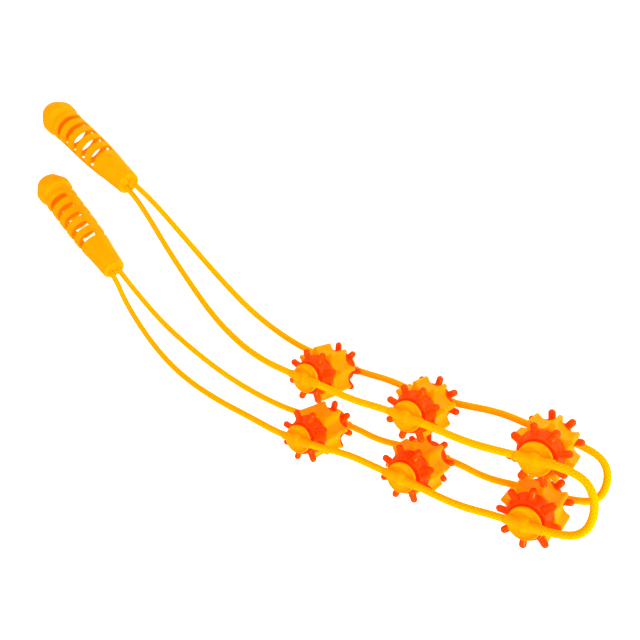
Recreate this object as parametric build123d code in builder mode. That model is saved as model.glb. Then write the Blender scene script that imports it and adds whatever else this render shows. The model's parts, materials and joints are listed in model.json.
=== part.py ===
from build123d import *
import math
import os

# Massage rope: two cords carry six rollers as rungs and end in a slotted hand grip at each end.
#
# Frame: +Z up, the floor is Z = 0, and the rope lies on it folded in half. The origin is on the floor
# under the middle of the box round the rollers and grips. Roller axles stand upright, so each roller
# rests on the flat of its lower hub's nose. Sizes are in millimetres and degrees.

os.makedirs("parts", exist_ok=True)

# ---- Cord ----
cord_diameter = 5.2
cord_radius = cord_diameter / 2

# ---- Roller: one star wheel between two pin wheels on an axle, a hub pressed on each end ----
wheel_radius = 21.3
star_width = 22.4
star_valley_radius = 15.6
star_scallop_radius = 7.0
star_edge_fillet = 1.3
star_end_fillet = 0.8
lobe_count = 8

pin_wheel_width = 13.4
pin_flange_radius = 15.3
pin_flange_width = 3.6
pin_neck_radius = 12.4
pin_collar_radius = 12.9
pin_recess_radius = 11.3
pin_recess_depth = 2.5
pin_height = 7.2
pin_radius = 2.5
pin_root_radius = 5.2
pin_root_start = 8.5
pin_root_end = 15.2

axle_radius = 2.5
axle_chamfer = 0.4
running_clearance = 0.08
wheel_gap = 0.8
boss_gap = 0.4
disc_gap = 2.4

hub_disc_radius = 11.0
hub_disc_thickness = 2.4
hub_boss_radius = 4.6
hub_edge = 0.6
nose_radius = 5.4
nose_flat_radius = 1.2
nose_sink = 1.0
valley_radius = 7.6
valley_depth = 1.5
cord_rise = 0.6
sleeve_reach = 12.5
sleeve_radius = 3.5
sleeve_end_radius = 3.1
axle_cover = 0.7
hub_hold = 17.0
loop_lead = 26.0

# Heights above the roller's middle plane.
pin_wheel_base = star_width / 2 + wheel_gap
collar_top = pin_wheel_base + pin_wheel_width
boss_bottom = collar_top - pin_recess_depth + boss_gap
disc_bottom = collar_top + disc_gap
disc_top = disc_bottom + hub_disc_thickness
nose_centre = disc_top - nose_sink
nose_top = nose_centre + math.sqrt(nose_radius**2 - nose_flat_radius**2)
cord_level = disc_top + cord_rise
axle_end = cord_level - cord_radius - axle_cover

middle_height = nose_top
upper_level = middle_height + cord_level
lower_level = middle_height - cord_level

# Roller centres in the order that the rope passes them, and the turn of each wheel:
# upper pin wheel, star wheel, lower pin wheel.
roller_centres = [
    (92.5, -61.8), (177.5, -67.2), (266.1, -69.3),
    (267.3, -112.9), (180.5, -111.8), (92.9, -110.6),
]
roller_turns = [
    (24.1, 16.5, 5.3), (29.2, 15.0, 37.7), (19.7, 34.5, 11.4),
    (0.1, 37.5, 11.9), (26.4, 7.5, 8.0), (31.8, 10.5, 39.9),
]

# ---- Hand grip, by stations along its axis from the face that the cords enter ----
shoulder_station = 2.0
shoulder_radius = 11.5
shoulder_inset = 1.8
ferrule_length = 26.0
seam_radius = 13.35
ferrule_bulge = 0.1
spigot_radius = 11.0
spigot_length = 8.0
face_wall = 4.0
cavity_radius = 8.8

grip_radius = 16.0
grip_wall = 2.4
hollow_start = 37.2
rest_station = 52.0
rest_radius = 15.45
ring_station = 102.0
ring_height = 0.4
neck_station = 106.0
neck_radius = 15.2
rim_station = 118.0
rim_radius = 17.9
cap_spigot_radius = 13.4
cap_spigot_length = 6.0
cap_wall = 2.2
cap_height = 12.0
cap_land = 1.0
cap_end_radius = 11.0
cap_corner = 1.6

slot_count = 5
slot_width = 7.2
slot_pitch = 13.6
first_slot_station = 41.2
slot_corner_radius = 2.0
rail_angle = 40.0
cutter_start = 2.0
cutter_middle = 13.0
cutter_reach = 1.2 * grip_radius

hole_pitch = 7.5
anchor_station = 8.0
anchor_thickness = 6.0
knot_radius = 3.55
knot_gap = 0.1
knot_station = anchor_station + anchor_thickness + knot_radius + knot_gap
cord_end_station = knot_station + 2.0
exit_run = 6.0

# Where each grip's shoulder centre stands, its heading over the floor, and how far its slots and
# its pair of cord holes are turned about its axis from upright.
grip_places = {
    "first": {"shoulder": (-166.4, 60.8), "heading": 151.5, "slots": 28.7, "holes": -75.0},
    "second": {"shoulder": (-178.5, -26.2), "heading": 143.5, "slots": 0.0, "holes": -34.0},
}


# A grip on the floor touches it with its rail beside the first slots and with its rim.
rest_tilt = math.atan((rim_radius - rest_radius) / (rim_station - rest_station))


# ---- Helpers ----
def save(piece, name):
    """Label a finished part and write it to its own file."""
    piece.label = name
    export_step(piece, f"parts/{name}.step")


def save_copy(master, name, place):
    """Write a copy of a master part moved to its place."""
    with BuildPart() as copy:
        with Locations(place):
            add(master.part)
    save(copy.part, name)


def grip_plane(name, turn):
    """Plane on a grip's cord face, Z along the grip and X turned about it from upright."""
    place = grip_places[name]
    heading = math.radians(place["heading"])
    along = Vector(math.cos(heading), math.sin(heading), math.tan(rest_tilt)).normalized()
    side = Vector(math.sin(heading), -math.cos(heading), 0)
    upright = side.cross(along)
    height = rim_radius * math.cos(rest_tilt) - (rim_station - shoulder_station) * math.sin(rest_tilt)
    shoulder = Vector(*place["shoulder"], height)
    across = upright * math.cos(math.radians(turn)) + side * math.sin(math.radians(turn))
    return Plane(origin=shoulder - along * shoulder_station, x_dir=across, z_dir=along)


def hole_point(name, hole, station):
    """Point on a cord hole's axis: hole is 1 for the upper cord and -1 for the lower one."""
    plane = grip_plane(name, grip_places[name]["holes"])
    return tuple(plane.from_local_coords(Vector(hole * hole_pitch / 2, 0, station)))


def cord_tube(points):
    """Sweep the cord's round section along straight runs joined by tangent arcs."""
    corners = [Vector(*point) for point in points]
    runs = [after - before for before, after in zip(corners, corners[1:])]
    turns = [before.get_angle(after) for before, after in zip(runs, runs[1:])]
    shorter = [min(before.length, after.length) for before, after in zip(runs, runs[1:])]
    radii = [0.45 * run / math.tan(math.radians(turn / 2)) for run, turn in zip(shorter, turns)]
    with BuildPart() as tube:
        with BuildLine() as path:
            FilletPolyline(*corners, radius=radii)
        with BuildSketch(Plane(origin=corners[0], z_dir=runs[0])):
            Circle(cord_radius)
        sweep()
    length = path.wire().length
    print("cord length", round(length, 1), "longest run", round(max(run.length for run in runs), 1))
    print("cord radii", [round(radius, 1) for radius in radii])
    print("cord volume", round(tube.part.volume, 1), "section x length",
          round(math.pi * cord_radius**2 * length, 1))
    return tube


# ---- Roller masters, each about its own axle, heights from the roller's middle plane ----
with BuildPart() as axle:
    Cylinder(axle_radius, 2 * axle_end)
    chamfer(axle.edges().filter_by(GeomType.CIRCLE), axle_chamfer)

with BuildPart() as star_wheel:
    with BuildSketch():
        Circle(wheel_radius)
        with PolarLocations(star_valley_radius + star_scallop_radius, lobe_count, start_angle=22.5):
            Circle(star_scallop_radius, mode=Mode.SUBTRACT)
    extrude(amount=star_width / 2, both=True)
    fillet(star_wheel.edges().filter_by(Axis.Z), star_edge_fillet)
    fillet(star_wheel.faces().filter_by(Axis.Z).edges(), star_end_fillet)
    Cylinder(axle_radius + running_clearance, star_width, mode=Mode.SUBTRACT)

# The pin wheel's inner face is at height 0 here. Its recess takes the hub's boss.
recess_floor = pin_wheel_width - pin_recess_depth
with BuildPart() as pin_wheel:
    with BuildSketch(Plane.XZ):
        with BuildLine():
            Polyline(
                (0, 0), (pin_flange_radius - 0.8, 0), (pin_flange_radius, 0.8),
                (pin_flange_radius, pin_flange_width), (pin_neck_radius, recess_floor - 1.5),
                (pin_neck_radius, recess_floor - 0.5), (pin_collar_radius, recess_floor + 0.4),
                (pin_collar_radius, pin_wheel_width - 0.5),
                (pin_collar_radius - 0.5, pin_wheel_width), (pin_recess_radius + 0.4, pin_wheel_width),
                (pin_recess_radius, pin_wheel_width - 0.4), (pin_recess_radius, recess_floor),
                (0, recess_floor), (0, 0),
            )
        make_face()
    revolve(axis=Axis.Z)
    with BuildSketch(Plane.XY.offset(pin_height)):
        with BuildLine():
            Line((pin_root_start, 0), (pin_root_start, pin_root_radius))
            ThreePointArc(
                (pin_root_start, pin_root_radius),
                ((pin_root_start + pin_root_end) / 2, (pin_root_radius + pin_radius) / 2 - 0.5),
                (pin_root_end, pin_radius),
            )
            Line((pin_root_end, pin_radius), (wheel_radius - pin_radius, pin_radius))
            RadiusArc((wheel_radius - pin_radius, pin_radius), (wheel_radius, 0), pin_radius)
            Line((wheel_radius, 0), (pin_root_start, 0))
        make_face()
    one_pin = revolve(axis=Axis((0, 0, pin_height), (1, 0, 0)), mode=Mode.PRIVATE)
    with PolarLocations(0, lobe_count):
        add(one_pin)
    Cylinder(axle_radius + running_clearance, 3 * pin_wheel_width, mode=Mode.SUBTRACT)

# The hub's cord runs along X here, through the sleeve across its disc and nose.
nose_foot = disc_top - valley_depth + 0.4
nose_foot_radius = math.sqrt(nose_radius**2 - (nose_foot - nose_centre) ** 2)
nose_mid = nose_radius * math.sqrt(0.5)
with BuildPart() as hub:
    with BuildSketch(Plane.XZ):
        with BuildLine():
            Polyline(
                (0, nose_top), (0, boss_bottom), (hub_boss_radius, boss_bottom),
                (hub_boss_radius, disc_bottom - 1.4), (hub_disc_radius - 1.0, disc_bottom),
                (hub_disc_radius, disc_bottom + hub_edge), (hub_disc_radius, disc_top - hub_edge),
                (hub_disc_radius - hub_edge, disc_top),
            )
            ThreePointArc(
                (hub_disc_radius - hub_edge, disc_top),
                (valley_radius, disc_top - valley_depth),
                (nose_foot_radius, nose_foot),
            )
            ThreePointArc(
                (nose_foot_radius, nose_foot), (nose_mid, nose_centre + nose_mid),
                (nose_flat_radius, nose_top),
            )
            Line((nose_flat_radius, nose_top), (0, nose_top))
        make_face()
    revolve(axis=Axis.Z)
    with BuildSketch(Plane.XZ):
        with BuildLine():
            Polyline(
                (-sleeve_reach, cord_level), (-sleeve_reach, cord_level + sleeve_end_radius),
                (0, cord_level + sleeve_radius), (sleeve_reach, cord_level + sleeve_end_radius),
                (sleeve_reach, cord_level), (-sleeve_reach, cord_level),
            )
        make_face()
    revolve(axis=Axis((0, 0, cord_level), (1, 0, 0)))
    with BuildSketch(Plane.YZ.offset(-sleeve_reach)):
        with Locations((0, cord_level)):
            Circle(cord_radius)
    extrude(amount=2 * sleeve_reach, mode=Mode.SUBTRACT)
    with BuildSketch(Plane.XY.offset(boss_bottom)):
        Circle(axle_radius)
    extrude(amount=axle_end - boss_bottom, mode=Mode.SUBTRACT)

# ---- Cord routes ----
# Each runs from the first grip through the hubs of rollers 1 to 3, round the loop, back through the
# hubs of rollers 4 to 6 and into the second grip. A hub holds its stretch of cord straight.
upper_headings = {1: -5.1, 2: -3.5, 3: 3.3, 4: 182.0, 5: 174.7, 6: 179.7}
lower_headings = {1: -5.0, 2: 1.3, 3: -6.0, 4: 182.7, 5: 180.3, 6: 178.8}


def over_hub(end, number, before=hub_hold, after=hub_hold):
    """The points where a cord's straight stretch through a hub begins and ends."""
    heading = math.radians((upper_headings if end == "upper" else lower_headings)[number])
    level = upper_level if end == "upper" else lower_level
    x, y = roller_centres[number - 1]
    return [
        (x + reach * math.cos(heading), y + reach * math.sin(heading), level)
        for reach in (-before, after)
    ]


upper_route = [
    hole_point("first", 1, cord_end_station), hole_point("first", 1, -exit_run),
    (-138.0, 34.3, 13.4), (-101.0, 6.8, 20.5), (-59.0, -17.8, 32.0), (-17.0, -38.7, 45.2),
    (22.0, -52.2, 56.0), (51.0, -57.8, 62.6), *over_hub("upper", 1), (135.0, -66.7, upper_level),
    *over_hub("upper", 2), (223.0, -72.3, upper_level), *over_hub("upper", 3, after=loop_lead),
    (305.4, -80.2, upper_level), (305.8, -101.6, upper_level),
    *over_hub("upper", 4, before=loop_lead), (224.0, -116.2, upper_level), *over_hub("upper", 5),
    (138.0, -107.7, upper_level), *over_hub("upper", 6), (43.0, -107.4, 61.5),
    (1.0, -106.3, 53.0), (-43.0, -102.5, 42.0), (-83.0, -93.5, 31.5), (-121.0, -77.5, 22.5),
    (-156.5, -55.5, 15.5), hole_point("second", 1, -exit_run),
    hole_point("second", 1, cord_end_station),
]
lower_route = [
    hole_point("first", -1, cord_end_station), hole_point("first", -1, -exit_run),
    (-133.0, 46.3, 10.5), (-93.0, 20.0, 9.7), (-50.0, -9.7, 7.4), (-7.0, -36.7, 5.0),
    (38.0, -54.2, 3.8), *over_hub("lower", 1), (136.0, -63.1, lower_level),
    *over_hub("lower", 2), (223.0, -60.6, lower_level), *over_hub("lower", 3, after=loop_lead),
    (304.0, -82.0, lower_level), (304.2, -101.2, lower_level),
    *over_hub("lower", 4, before=loop_lead), (224.0, -116.8, lower_level), *over_hub("lower", 5),
    (133.0, -117.6, lower_level), *over_hub("lower", 6), (54.0, -115.0, 3.8), (15.0, -111.3, 4.5),
    (-28.0, -101.5, 5.8), (-71.0, -86.0, 7.2), (-111.0, -68.0, 8.6), (-147.0, -46.4, 8.6),
    hole_point("second", -1, -exit_run), hole_point("second", -1, cord_end_station),
]

# ---- Cords ----
save(cord_tube(upper_route).part, "upper_cord")
save(cord_tube(lower_route).part, "lower_cord")

# ---- Rollers ----
for number, (centre, turns) in enumerate(zip(roller_centres, roller_turns), start=1):
    middle = Vector(*centre, middle_height)
    upper_turn, star_turn, lower_turn = turns
    upper_base = middle + Vector(0, 0, pin_wheel_base)
    lower_base = middle - Vector(0, 0, pin_wheel_base)
    upper_heading, lower_heading = upper_headings[number], lower_headings[number]
    save_copy(hub, f"roller_{number}_upper_hub", Location(middle, (0, 0, upper_heading)))
    save_copy(hub, f"roller_{number}_lower_hub", Location(middle, (180, 0, -lower_heading)))
    save_copy(axle, f"roller_{number}_axle", Location(middle))
    save_copy(star_wheel, f"roller_{number}_star_wheel", Location(middle, (0, 0, star_turn)))
    save_copy(pin_wheel, f"roller_{number}_upper_pin_wheel", Location(upper_base, (0, 0, upper_turn)))
    save_copy(pin_wheel, f"roller_{number}_lower_pin_wheel", Location(lower_base, (180, 0, -lower_turn)))

# ---- Grip masters, standing on the cord face with the axis along Z ----
with BuildPart() as ferrule:
    with BuildSketch(Plane.XZ):
        with BuildLine():
            Line((0, 0), (shoulder_radius - shoulder_inset, 0))
            RadiusArc(
                (shoulder_radius - shoulder_inset, 0), (shoulder_radius, shoulder_station),
                -shoulder_station,
            )
            ThreePointArc(
                (shoulder_radius, shoulder_station),
                (
                    (shoulder_radius + seam_radius) / 2 - ferrule_bulge,
                    (shoulder_station + ferrule_length) / 2,
                ),
                (seam_radius, ferrule_length),
            )
            Polyline(
                (seam_radius, ferrule_length), (spigot_radius, ferrule_length),
                (spigot_radius, ferrule_length + spigot_length),
                (cavity_radius, ferrule_length + spigot_length), (cavity_radius, face_wall),
                (0, face_wall), (0, 0),
            )
        make_face()
    revolve(axis=Axis.Z)
    with BuildSketch():
        with GridLocations(hole_pitch, 0, 2, 1):
            Circle(cord_radius)
    extrude(amount=face_wall, mode=Mode.SUBTRACT)

with BuildPart() as cord_anchor:
    with BuildSketch(Plane.XY.offset(anchor_station)):
        Circle(cavity_radius)
        with GridLocations(hole_pitch, 0, 2, 1):
            Circle(cord_radius, mode=Mode.SUBTRACT)
    extrude(amount=anchor_thickness)
    chamfer(cord_anchor.edges().filter_by(GeomType.CIRCLE).group_by(SortBy.RADIUS)[-1], 0.6)

with BuildPart() as cord_knot:
    with Locations((0, 0, knot_station)):
        Sphere(knot_radius)
    with BuildSketch(Plane.XY.offset(knot_station - knot_radius)):
        Circle(cord_radius)
    extrude(amount=cord_end_station - knot_station + knot_radius, mode=Mode.SUBTRACT)

# One slot's cutter widens from rail to rail on the +Y side, with its four long edges rounded.
rail_slope = 1 / math.tan(math.radians(rail_angle / 2))
with BuildPart() as slot_cutter:
    for height in (cutter_start, cutter_middle):
        with BuildSketch(Plane.XZ.offset(-height)):
            RectangleRounded(2 * height * rail_slope, slot_width, slot_corner_radius)
    loft(ruled=True)
    with BuildSketch(Plane.XZ.offset(-cutter_middle)):
        Rectangle(2 * cutter_middle * rail_slope, slot_width)
    extrude(amount=-(cutter_reach - cutter_middle))

with BuildPart() as grip:
    with BuildSketch(Plane.XZ):
        with BuildLine():
            Spline(
                (seam_radius, ferrule_length), (rest_radius, rest_station),
                (grip_radius, ring_station - 3.0),
                tangents=((0.14, 1), (0, 1)),
            )
            ThreePointArc(
                (grip_radius, ring_station - 3.0), (grip_radius + ring_height, ring_station - 0.5),
                (grip_radius - 0.1, ring_station + 2.0),
            )
            Spline(
                (grip_radius - 0.1, ring_station + 2.0), (neck_radius, neck_station),
                ((neck_radius + rim_radius) / 2 + 0.3, (neck_station + rim_station) / 2 - 1.0),
                (rim_radius, rim_station - cap_land),
                tangents=((-0.6, 1), (0, 1)),
            )
            Polyline(
                (rim_radius, rim_station - cap_land), (rim_radius, rim_station),
                (cap_spigot_radius, rim_station), (cap_spigot_radius, first_slot_station + slot_pitch),
                (spigot_radius + 1.0, hollow_start), (spigot_radius, ferrule_length + spigot_length),
                (spigot_radius, ferrule_length), (seam_radius, ferrule_length),
            )
        make_face()
    revolve(axis=Axis.Z)
    # The slots leave two rails that stand along the grip at +X and -X.
    for slot in range(slot_count):
        with Locations((0, 0, first_slot_station + slot * slot_pitch)):
            add(slot_cutter.part, mode=Mode.SUBTRACT)
            add(slot_cutter.part, rotation=(0, 0, 180), mode=Mode.SUBTRACT)

with BuildPart() as end_cap:
    with BuildSketch(Plane.XZ):
        with BuildLine():
            Polyline(
                (rim_radius, rim_station), (rim_radius, rim_station + cap_land),
                (cap_end_radius + cap_corner, rim_station + cap_height - cap_corner),
            )
            ThreePointArc(
                (cap_end_radius + cap_corner, rim_station + cap_height - cap_corner),
                (cap_end_radius + 0.45 * cap_corner, rim_station + cap_height - 0.45 * cap_corner),
                (cap_end_radius - cap_corner, rim_station + cap_height - 0.1 * cap_corner),
            )
            Line(
                (cap_end_radius - cap_corner, rim_station + cap_height - 0.1 * cap_corner),
                (0, rim_station + cap_height),
            )
            Polyline(
                (0, rim_station + cap_height), (0, rim_station + cap_height / 3),
                (cap_spigot_radius - cap_wall, rim_station + cap_wall),
                (cap_spigot_radius - cap_wall, rim_station - cap_spigot_length),
                (cap_spigot_radius, rim_station - cap_spigot_length), (cap_spigot_radius, rim_station),
                (rim_radius, rim_station),
            )
        make_face()
    revolve(axis=Axis.Z)

# ---- Grips, laid on the floor on their shoulder and rim ----
for name, place in grip_places.items():
    slots_plane = grip_plane(name, place["slots"] + 90)
    holes_plane = grip_plane(name, place["holes"])
    save_copy(grip, f"{name}_grip", slots_plane.location)
    save_copy(end_cap, f"{name}_end_cap", slots_plane.location)
    save_copy(ferrule, f"{name}_ferrule", holes_plane.location)
    save_copy(cord_anchor, f"{name}_cord_anchor", holes_plane.location)
    for hole, cord in ((1, "upper"), (-1, "lower")):
        knot_plane = holes_plane.shift_origin(hole_point(name, hole, 0))
        save_copy(cord_knot, f"{name}_{cord}_cord_knot", knot_plane.location)
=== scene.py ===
import json
import math
import bpy
import numpy as np
from mathutils import Matrix, Vector


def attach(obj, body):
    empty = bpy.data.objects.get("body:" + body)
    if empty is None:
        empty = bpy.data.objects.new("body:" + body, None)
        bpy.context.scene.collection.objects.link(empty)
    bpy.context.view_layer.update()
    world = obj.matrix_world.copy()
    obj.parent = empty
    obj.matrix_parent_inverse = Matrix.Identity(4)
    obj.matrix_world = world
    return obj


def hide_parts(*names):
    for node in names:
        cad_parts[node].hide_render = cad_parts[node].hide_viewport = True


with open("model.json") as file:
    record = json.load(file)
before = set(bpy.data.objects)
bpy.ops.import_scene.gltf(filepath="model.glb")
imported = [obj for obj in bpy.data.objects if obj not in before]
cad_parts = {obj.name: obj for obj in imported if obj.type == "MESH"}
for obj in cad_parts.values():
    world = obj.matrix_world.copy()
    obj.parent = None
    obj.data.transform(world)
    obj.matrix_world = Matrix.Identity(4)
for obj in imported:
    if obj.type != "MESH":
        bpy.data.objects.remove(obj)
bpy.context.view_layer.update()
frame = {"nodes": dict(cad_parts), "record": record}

scene = bpy.context.scene
nodes = frame["nodes"]
print("frame loaded:", len(nodes), "nodes")

# The camera looks down at the folded rope from beside its loop. Right, up and back are its own
# directions.
cameraView = {
    "place": (0.3404, 0.0781, 0.4741),
    "right": (0.8425, 0.1245, -0.5242),
    "up": (-0.2062, 0.9733, -0.1003),
    "back": (0.4977, 0.1926, 0.8457),
    "lens": 37.15, "sensor": 36.0, "nearest": 0.01, "furthest": 50.0,
}
cameraData = bpy.data.cameras.new("viewCamera")
cameraData.lens = cameraView["lens"]
cameraData.sensor_width = cameraView["sensor"]
cameraData.clip_start = cameraView["nearest"]
cameraData.clip_end = cameraView["furthest"]
camera = bpy.data.objects.new("viewCamera", cameraData)
turn = Matrix((cameraView["right"], cameraView["up"], cameraView["back"])).transposed()
camera.matrix_world = Matrix.Translation(cameraView["place"]) @ turn.to_4x4()
scene.collection.objects.link(camera)
scene.camera = camera
print("camera set")

# The rope's own sizes, the same as the frame's, in metres and degrees.
rope = {
    "cordDiameter": 0.0052,
    "levels": {"upper": 0.065265, "lower": 0.003665},
    "centres": {1: (0.0925, -0.0618), 2: (0.1775, -0.0672), 3: (0.2661, -0.0693),
                4: (0.2673, -0.1129), 5: (0.1805, -0.1118), 6: (0.0929, -0.1106)},
    "headings": {"upper": {1: -5.1, 2: -3.5, 3: 3.3, 4: 182.0, 5: 174.7, 6: 179.7},
                 "lower": {1: -5.0, 2: 1.3, 3: -6.0, 4: 182.7, 5: 180.3, 6: 178.8}},
    "hubHold": 0.017, "loopLead": 0.026,
    "lineOrder": 3, "lineSteps": 14, "sectionPoints": 20,
}
# A grip's stations along its axis and its radii there. Each place is the shoulder's centre, the
# heading over the floor, and how far the pair of cord holes is turned from upright.
gripSizes = {
    "shoulderStation": 0.002, "rimStation": 0.118, "rimRadius": 0.0179,
    "restStation": 0.052, "restRadius": 0.01545,
    "holePitch": 0.0075, "cordEnd": 0.01965, "exitRun": 0.006,
    "places": {"first": ((-0.1664, 0.0608), 151.5, -75.0),
               "second": ((-0.1785, -0.0262), 143.5, -34.0)},
}


# A grip's cord face: where it is, the way along the grip, and the upright and sideways directions
# on it. The grip lies on its rim and its rest ring, so its tilt is the angle whose tangent is the
# difference of their radii over the distance between them.
def gripFace(name):
    (x, y), heading, holes = gripSizes["places"][name]
    tilt = math.atan((gripSizes["rimRadius"] - gripSizes["restRadius"])
                     / (gripSizes["rimStation"] - gripSizes["restStation"]))
    around = math.radians(heading)
    along = Vector((math.cos(around), math.sin(around), math.tan(tilt))).normalized()
    side = Vector((math.sin(around), -math.cos(around), 0.0))
    upright = side.cross(along)
    height = (gripSizes["rimRadius"] * math.cos(tilt)
              - (gripSizes["rimStation"] - gripSizes["shoulderStation"]) * math.sin(tilt))
    return Vector((x, y, height)) - along * gripSizes["shoulderStation"], along, upright, side, holes


# A point on the axis of one of the two cord holes: the face's centre, plus half the holes' pitch
# across, plus the station along. hole is 1 for the upper cord and -1 for the lower.
def holePoint(name, hole, station):
    face, along, upright, side, holes = gripFace(name)
    across = upright * math.cos(math.radians(holes)) + side * math.sin(math.radians(holes))
    return face + across * (hole * gripSizes["holePitch"] / 2) + along * station


# The two ends of the straight stretch that a hub holds: the roller's centre less and plus a reach
# along the cord's heading there.
def overHub(end, number, before=rope["hubHold"], after=rope["hubHold"]):
    heading = math.radians(rope["headings"][end][number])
    x, y = rope["centres"][number]
    level = rope["levels"][end]
    return [(x + reach * math.cos(heading), y + reach * math.sin(heading), level)
            for reach in (-before, after)]


upperLevel, lowerLevel = rope["levels"]["upper"], rope["levels"]["lower"]
loopLead = rope["loopLead"]
cordRoutes = {
    "upper": [
        holePoint("first", 1, gripSizes["cordEnd"]), holePoint("first", 1, -gripSizes["exitRun"]),
        (-0.138, 0.0343, 0.0134), (-0.101, 0.0068, 0.0205), (-0.059, -0.0178, 0.032),
        (-0.017, -0.0387, 0.0452), (0.022, -0.0522, 0.056), (0.051, -0.0578, 0.0626),
        *overHub("upper", 1), (0.135, -0.0667, upperLevel),
        *overHub("upper", 2), (0.223, -0.0716, upperLevel),
        *overHub("upper", 3, after=loopLead),
        (0.3054, -0.0802, upperLevel), (0.3058, -0.1016, upperLevel),
        *overHub("upper", 4, before=loopLead), (0.224, -0.1162, upperLevel),
        *overHub("upper", 5), (0.138, -0.1077, upperLevel),
        *overHub("upper", 6), (0.043, -0.1074, 0.0615), (0.001, -0.1063, 0.053),
        (-0.043, -0.1025, 0.042), (-0.083, -0.0935, 0.0315), (-0.121, -0.0775, 0.0225),
        (-0.1565, -0.0555, 0.0155),
        holePoint("second", 1, -gripSizes["exitRun"]), holePoint("second", 1, gripSizes["cordEnd"]),
    ],
    "lower": [
        holePoint("first", -1, gripSizes["cordEnd"]), holePoint("first", -1, -gripSizes["exitRun"]),
        (-0.133, 0.0463, 0.0105), (-0.093, 0.020, 0.0097), (-0.050, -0.0097, 0.0074),
        (-0.007, -0.0367, 0.005), (0.038, -0.0542, 0.0038),
        *overHub("lower", 1), (0.136, -0.0631, lowerLevel),
        *overHub("lower", 2), (0.224, -0.064, lowerLevel),
        *overHub("lower", 3, after=loopLead),
        (0.304, -0.082, lowerLevel), (0.3042, -0.1012, lowerLevel),
        *overHub("lower", 4, before=loopLead), (0.224, -0.1168, lowerLevel),
        *overHub("lower", 5), (0.133, -0.1152, lowerLevel),
        *overHub("lower", 6), (0.054, -0.115, 0.0038), (0.015, -0.1113, 0.0045),
        (-0.028, -0.1015, 0.0058), (-0.071, -0.086, 0.0072), (-0.111, -0.068, 0.0086),
        (-0.147, -0.0464, 0.0086),
        holePoint("second", -1, -gripSizes["exitRun"]), holePoint("second", -1, gripSizes["cordEnd"]),
    ],
}


# The line of a smooth curve that a route steers, as the points that Blender steps along it. It
# starts and ends on the route's ends, and in between it stays close to the route and cuts its
# corners.
def smoothLine(name, route):
    curve = bpy.data.curves.new(name, "CURVE")
    curve.dimensions = "3D"
    curve.resolution_u = rope["lineSteps"]
    spline = curve.splines.new("NURBS")
    spline.points.add(len(route) - 1)
    for point, place in zip(spline.points, route):
        point.co = (*place, 1.0)
    spline.order_u = rope["lineOrder"]
    spline.use_endpoint_u = True
    guide = bpy.data.objects.new(name, curve)
    scene.collection.objects.link(guide)
    bpy.context.view_layer.update()
    stepped = bpy.data.meshes.new_from_object(
        guide.evaluated_get(bpy.context.evaluated_depsgraph_get()))
    line = np.empty(len(stepped.vertices) * 3)
    stepped.vertices.foreach_get("co", line)
    bpy.data.objects.remove(guide)
    bpy.data.curves.remove(curve)
    bpy.data.meshes.remove(stepped)
    return line.reshape(-1, 3)


# Puts a grid of points into a mesh: rows run along the piece and columns go round it and join up.
# A point at each end closes it. The piece's own map has the length in metres and the share of a turn.
def tubeMesh(name, grid, lengths):
    rows, columns = grid.shape[:2]
    points = np.concatenate([grid.reshape(-1, 3), grid[:1].mean(1), grid[-1:].mean(1)])
    row, column = np.meshgrid(np.arange(rows - 1), np.arange(columns), indexing="ij")
    following = (column + 1) % columns
    quads = np.stack([row * columns + column, row * columns + following,
                      (row + 1) * columns + following, (row + 1) * columns + column], -1).reshape(-1, 4)
    ring = np.arange(columns)
    ringNext = (ring + 1) % columns
    last = (rows - 1) * columns
    first = np.full(columns, rows * columns)
    closing = np.concatenate([np.stack([ringNext, ring, first], 1),
                              np.stack([last + ring, last + ringNext, first + 1], 1)])
    mesh = bpy.data.meshes.new(name)
    mesh.from_pydata(points.tolist(), [], quads.tolist() + closing.tolist())
    share = column.reshape(-1) / columns
    along = np.stack([lengths[row], lengths[row], lengths[row + 1], lengths[row + 1]], -1).reshape(-1)
    around = np.stack([share, share + 1 / columns, share + 1 / columns, share], -1).reshape(-1)
    ends = np.zeros((closing.size, 2))
    ends[closing.size // 2:, 0] = lengths[-1]
    cordMap = mesh.uv_layers.new(name="lengthAndTurn")
    places = np.concatenate([np.stack([along, around], 1), ends])
    cordMap.data.foreach_set("uv", places.astype(np.float32).ravel())
    mesh.polygons.foreach_set("use_smooth", np.ones(len(mesh.polygons), bool))
    mesh.update()
    piece = bpy.data.objects.new(name, mesh)
    scene.collection.objects.link(piece)
    return piece


# A round section carried along a line: each point is the line's point plus the radius times the
# cosine of the turn sideways and its sine downwards. Sideways is level, so the section never twists.
def carriedRound(name, line, radius, columns=rope["sectionPoints"]):
    tangent = np.gradient(line, axis=0)
    tangent /= np.linalg.norm(tangent, axis=1, keepdims=True)
    side = np.cross(tangent, (0.0, 0.0, 1.0))
    side /= np.linalg.norm(side, axis=1, keepdims=True)
    over = np.cross(side, tangent)
    around = np.linspace(0, 2 * np.pi, columns, endpoint=False)[None, :, None]
    grid = line[:, None] + radius * (np.cos(around) * side[:, None] - np.sin(around) * over[:, None])
    lengths = np.concatenate([[0.0], np.cumsum(np.linalg.norm(np.diff(line, axis=0), axis=1))])
    return tubeMesh(name, grid, lengths), float(lengths[-1])


cordPieces = {}
for end, route in cordRoutes.items():
    line = smoothLine(f"{end}Guide", route)
    piece, length = carriedRound(f"{end}Cord", line, rope["cordDiameter"] / 2)
    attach(piece, "rope")
    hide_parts(f"{end}_cord")
    cordPieces[end] = piece
    print(end, "cord made,", round(length, 4), "m")


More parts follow.
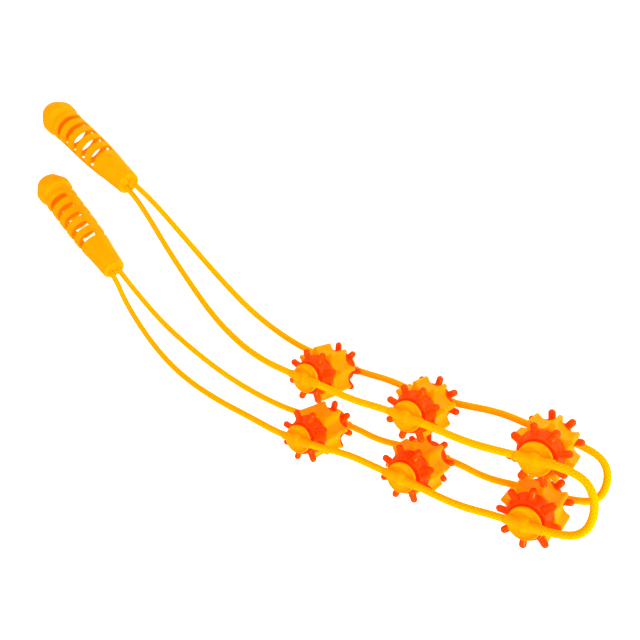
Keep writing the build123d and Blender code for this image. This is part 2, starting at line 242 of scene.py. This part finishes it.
# Each moulded finish: its two colours, the size of the patches that mix them and the roughness at
# each, the grain, how far light spreads inside, the tinted gloss, the clear coat, and a painted glow,
# an even emission that stands in for light coming through thin walls. Sizes are in metres and
# colours are linear.
finishes = {
    "moulded": {
        "light": (0.98, 0.29, 0.0), "deep": (0.94, 0.21, 0.0), "patch": 0.02,
        "roughness": (0.30, 0.42), "grain": 0.0006, "grainDepth": 0.00002,
        "softness": 0.12, "spread": 0.002, "glow": (1.0, 0.22, 0.0),
        "metal": 0.12, "coat": 0.04, "tint": (1.0, 0.5, 0.0),
        "paintedGlowColour": (1.0, 0.29, 0.0), "paintedGlowStrength": 0.3,
    },
    "spikes": {
        "light": (0.95, 0.085, 0.0), "deep": (0.82, 0.04, 0.0), "patch": 0.008,
        "roughness": (0.2, 0.3), "grain": 0.0009, "grainDepth": 0.00003,
        "softness": 0.3, "spread": 0.003, "glow": (1.0, 0.10, 0.0),
        "metal": 0.15, "coat": 0.1, "tint": (1.0, 0.5, 0.0),
        "paintedGlowColour": (1.0, 0.05, 0.0), "paintedGlowStrength": 0.1,
    },
    "inner": {
        "light": (0.9, 0.25, 0.0), "deep": (0.8, 0.2, 0.0), "patch": 0.01,
        "roughness": (0.5, 0.6), "grain": 0.0005, "grainDepth": 0.00002,
        "softness": 0.1, "spread": 0.002, "glow": (1.0, 0.30, 0.0),
        "metal": 0.0, "coat": 0.0, "tint": (1.0, 0.6, 0.0),
        "paintedGlowColour": (1.0, 0.2, 0.0), "paintedGlowStrength": 0.15,
    },
}
# What all the moulded finishes share.
mouldedSurface = {
    "patchDetail": 3.0, "patchSpan": (0.3, 0.7), "grainDetail": 2.0, "grainStrength": 0.6,
    "edgeRadius": 0.0006, "edgeSamples": 6, "coatRoughness": 0.12, "clearGloss": 0.0,
}


# Joins two sockets.
def join(tree, source, target):
    tree.links.new(source, target)


# Gives a node's sockets their values, by name.
def setSockets(node, values):
    for socket, value in values.items():
        node.inputs[socket].default_value = value


# A new material, its node tree and its shader.
def newMaterial(name):
    material = bpy.data.materials.new(name)
    material.use_nodes = True
    return material, material.node_tree, material.node_tree.nodes["Principled BSDF"]


# Noise over the piece's own coordinates, with features of one size in metres.
def addNoise(tree, place, size, detail):
    noise = tree.nodes.new("ShaderNodeTexNoise")
    setSockets(noise, {"Scale": 1 / size, "Detail": detail})
    join(tree, place.outputs["Object"], noise.inputs["Vector"])
    return noise


mixSockets = {"share": 0, "deep": 6, "light": 7, "result": 2}  # where a mix node has its colours


# Colours the shader from a finish's deep colour to its light one, as a share goes from 0 to 1.
def mixColours(tree, shader, finish, share):
    colours = tree.nodes.new("ShaderNodeMix")
    colours.data_type = "RGBA"
    for tone in ("deep", "light"):
        colours.inputs[mixSockets[tone]].default_value = (*finish[tone], 1)
    join(tree, share, colours.inputs[mixSockets["share"]])
    join(tree, colours.outputs[mixSockets["result"]], shader.inputs["Base Color"])


# Shades the surface as if it stood up by the heights that a socket gives.
def addRelief(tree, shader, heights, strength, depth):
    bump = tree.nodes.new("ShaderNodeBump")
    setSockets(bump, {"Strength": strength, "Distance": depth})
    join(tree, heights, bump.inputs["Height"])
    join(tree, bump.outputs["Normal"], shader.inputs["Normal"])
    return bump


# Moulded plastic: two near colours in soft patches, gloss that changes over the same patches,
# a fine grain, edges that are shaded as if they were rounded, and a painted glow over the piece.
def mouldedMaterial(name, finish):
    material, tree, shader = newMaterial(name)
    place = tree.nodes.new("ShaderNodeTexCoord")
    patches = addNoise(tree, place, finish["patch"], mouldedSurface["patchDetail"])
    mixColours(tree, shader, finish, patches.outputs["Fac"])
    gloss = tree.nodes.new("ShaderNodeMapRange")
    setSockets(gloss, dict(zip(("From Min", "From Max"), mouldedSurface["patchSpan"])))
    setSockets(gloss, dict(zip(("To Min", "To Max"), finish["roughness"])))
    join(tree, patches.outputs["Fac"], gloss.inputs["Value"])
    join(tree, gloss.outputs["Result"], shader.inputs["Roughness"])
    grain = addNoise(tree, place, finish["grain"], mouldedSurface["grainDetail"])
    rounded = tree.nodes.new("ShaderNodeBevel")
    rounded.samples = mouldedSurface["edgeSamples"]
    setSockets(rounded, {"Radius": mouldedSurface["edgeRadius"]})
    relief = addRelief(tree, shader, grain.outputs["Fac"], mouldedSurface["grainStrength"],
                       finish["grainDepth"])
    join(tree, rounded.outputs["Normal"], relief.inputs["Normal"])
    # Painted glow: the emission lights the piece evenly and stands in for light through its thin walls;
    # the piece is no lamp.
    setSockets(shader, {
        "Subsurface Weight": finish["softness"], "Subsurface Radius": finish["glow"],
        "Subsurface Scale": finish["spread"], "Metallic": finish["metal"],
        "Specular IOR Level": mouldedSurface["clearGloss"], "Specular Tint": (*finish["tint"], 1),
        "Coat Weight": finish["coat"], "Coat Roughness": mouldedSurface["coatRoughness"],
        "Emission Color": (*finish["paintedGlowColour"], 1), "Emission Strength": finish["paintedGlowStrength"],
    })
    return material


cordFinish = {
    "light": (0.98, 0.41, 0.0), "deep": (0.92, 0.28, 0.0), "deepest": -0.6,
    "strandPitch": 0.0028, "strandCount": 6, "depth": 0.00016, "strength": 0.3,
    "roughness": 0.5, "clearGloss": 0.0, "softness": 0.1, "spread": 0.001, "glow": (1.0, 0.3, 0.0),
}


# The cord's cover: two sets of strands that wind opposite ways, each a wave over the length and the
# turn round the cord, and the higher of the two shows. The colour is painted deeper in the low
# grooves between strands, as painted shade.
def cordMaterial(name, finish):
    material, tree, shader = newMaterial(name)
    place = tree.nodes.new("ShaderNodeUVMap")
    place.uv_map = "lengthAndTurn"
    parts = tree.nodes.new("ShaderNodeSeparateXYZ")
    join(tree, place.outputs["UV"], parts.inputs[0])
    waves = []
    for way in (1, -1):
        alongPhase = tree.nodes.new("ShaderNodeMath")
        alongPhase.operation = "MULTIPLY"
        alongPhase.inputs[1].default_value = 2 * math.pi / finish["strandPitch"]
        join(tree, parts.outputs["X"], alongPhase.inputs[0])
        phase = tree.nodes.new("ShaderNodeMath")
        phase.operation = "MULTIPLY_ADD"
        phase.inputs[1].default_value = way * 2 * math.pi * finish["strandCount"]
        join(tree, parts.outputs["Y"], phase.inputs[0])
        join(tree, alongPhase.outputs[0], phase.inputs[2])
        wave = tree.nodes.new("ShaderNodeMath")
        wave.operation = "SINE"
        join(tree, phase.outputs[0], wave.inputs[0])
        waves.append(wave)
    higher = tree.nodes.new("ShaderNodeMath")
    higher.operation = "MAXIMUM"
    join(tree, waves[0].outputs[0], higher.inputs[0])
    join(tree, waves[1].outputs[0], higher.inputs[1])
    # Painted shade: the colour runs from deep in the grooves between strands to light on their crowns.
    shade = tree.nodes.new("ShaderNodeMapRange")
    setSockets(shade, {"From Min": finish["deepest"]})
    join(tree, higher.outputs[0], shade.inputs["Value"])
    mixColours(tree, shader, finish, shade.outputs["Result"])
    addRelief(tree, shader, higher.outputs[0], finish["strength"], finish["depth"])
    setSockets(shader, {
        "Roughness": finish["roughness"], "Specular IOR Level": finish["clearGloss"],
        "Subsurface Weight": finish["softness"], "Subsurface Radius": finish["glow"],
        "Subsurface Scale": finish["spread"],
    })
    return material


steelFinish = {
    "colour": (0.55, 0.55, 0.56), "metal": 1.0, "roughness": 0.28,
    "ringScale": 1.0, "lineScale": (40.0, 40.0, 4000.0), "strength": 0.2, "depth": 0.00001,
}


# Turned steel: fine rings across the pin, from noise that is stretched round it.
def steelMaterial(name, finish):
    material, tree, shader = newMaterial(name)
    place = tree.nodes.new("ShaderNodeTexCoord")
    scaled = tree.nodes.new("ShaderNodeMapping")
    setSockets(scaled, {"Scale": finish["lineScale"]})
    rings = tree.nodes.new("ShaderNodeTexNoise")
    setSockets(rings, {"Scale": finish["ringScale"]})
    join(tree, place.outputs["Object"], scaled.inputs["Vector"])
    join(tree, scaled.outputs["Vector"], rings.inputs["Vector"])
    addRelief(tree, shader, rings.outputs["Fac"], finish["strength"], finish["depth"])
    setSockets(shader, {
        "Base Color": (*finish["colour"], 1), "Metallic": finish["metal"],
        "Roughness": finish["roughness"],
    })
    return material


materials = {
    "moulded_plastic": mouldedMaterial("mouldedPlastic", finishes["moulded"]),
    "soft_spikes": mouldedMaterial("softSpikes", finishes["spikes"]),
    "inner_plastic": mouldedMaterial("innerPlastic", finishes["inner"]),
    "cord": cordMaterial("cordCover", cordFinish),
    "axle": steelMaterial("axleSteel", steelFinish),
}


# Gives a piece one material in place of any it had.
def paint(piece, material):
    piece.data.materials.clear()
    piece.data.materials.append(material)


slotOfNode = {entry["node"]: entry["material_slot"] for entry in frame["record"]["subparts"]}
for name, node in nodes.items():
    paint(node, materials[slotOfNode[name]])
for piece in cordPieces.values():
    paint(piece, materials["cord"])
print("materials set")

# A wide pale floor that glows a little, a bright even surround and two soft lights.
stageSizes = {
    "floorHalf": 6.0, "floorHeight": -0.0002, "floorColour": (0.92, 0.92, 0.92), "floorRoughness": 0.9,
    "floorGloss": 0.0, "white": (1, 1, 1, 1), "floorGlow": 0.7, "surround": 0.95,
}
half, height = stageSizes["floorHalf"], stageSizes["floorHeight"]
floorMesh = bpy.data.meshes.new("paleFloor")
floorMesh.from_pydata([(-half, -half, height), (half, -half, height), (half, half, height),
                       (-half, half, height)], [], [(0, 1, 2, 3)])
floor = bpy.data.objects.new("paleFloor", floorMesh)
scene.collection.objects.link(floor)
floorMaterial, _, floorShader = newMaterial("paleFloor")
setSockets(floorShader, {
    "Base Color": (*stageSizes["floorColour"], 1), "Roughness": stageSizes["floorRoughness"],
    "Specular IOR Level": stageSizes["floorGloss"],
    "Emission Color": stageSizes["white"], "Emission Strength": stageSizes["floorGlow"],
})
floorMesh.materials.append(floorMaterial)

surround = bpy.data.worlds.new("paleSurround")
surround.use_nodes = True
setSockets(surround.node_tree.nodes["Background"],
           {"Color": stageSizes["white"], "Strength": stageSizes["surround"]})
scene.world = surround

# Each light stands off in its own direction from a point near the rope's middle, and faces it.
lights = {
    "keyLight": {"from": (0.725, -0.412, 0.495), "distance": 1.6, "size": 0.5, "power": 22.0},
    "topLight": {"from": (0.1, 0.2, 1.0), "distance": 1.6, "size": 0.8, "power": 4.0},
}
ropeMiddle = Vector((0.05, -0.05, 0.03))
for name, light in lights.items():
    lamp = bpy.data.lights.new(name, "AREA")
    lamp.shape = "DISK"
    lamp.size = light["size"]
    lamp.energy = light["power"]
    holder = bpy.data.objects.new(name, lamp)
    away = Vector(light["from"]).normalized()
    holder.matrix_world = (Matrix.Translation(ropeMiddle + away * light["distance"])
                           @ away.to_track_quat("Z", "Y").to_matrix().to_4x4())
    scene.collection.objects.link(holder)
scene.view_settings.view_transform = "Standard"
print("stage and lights set")
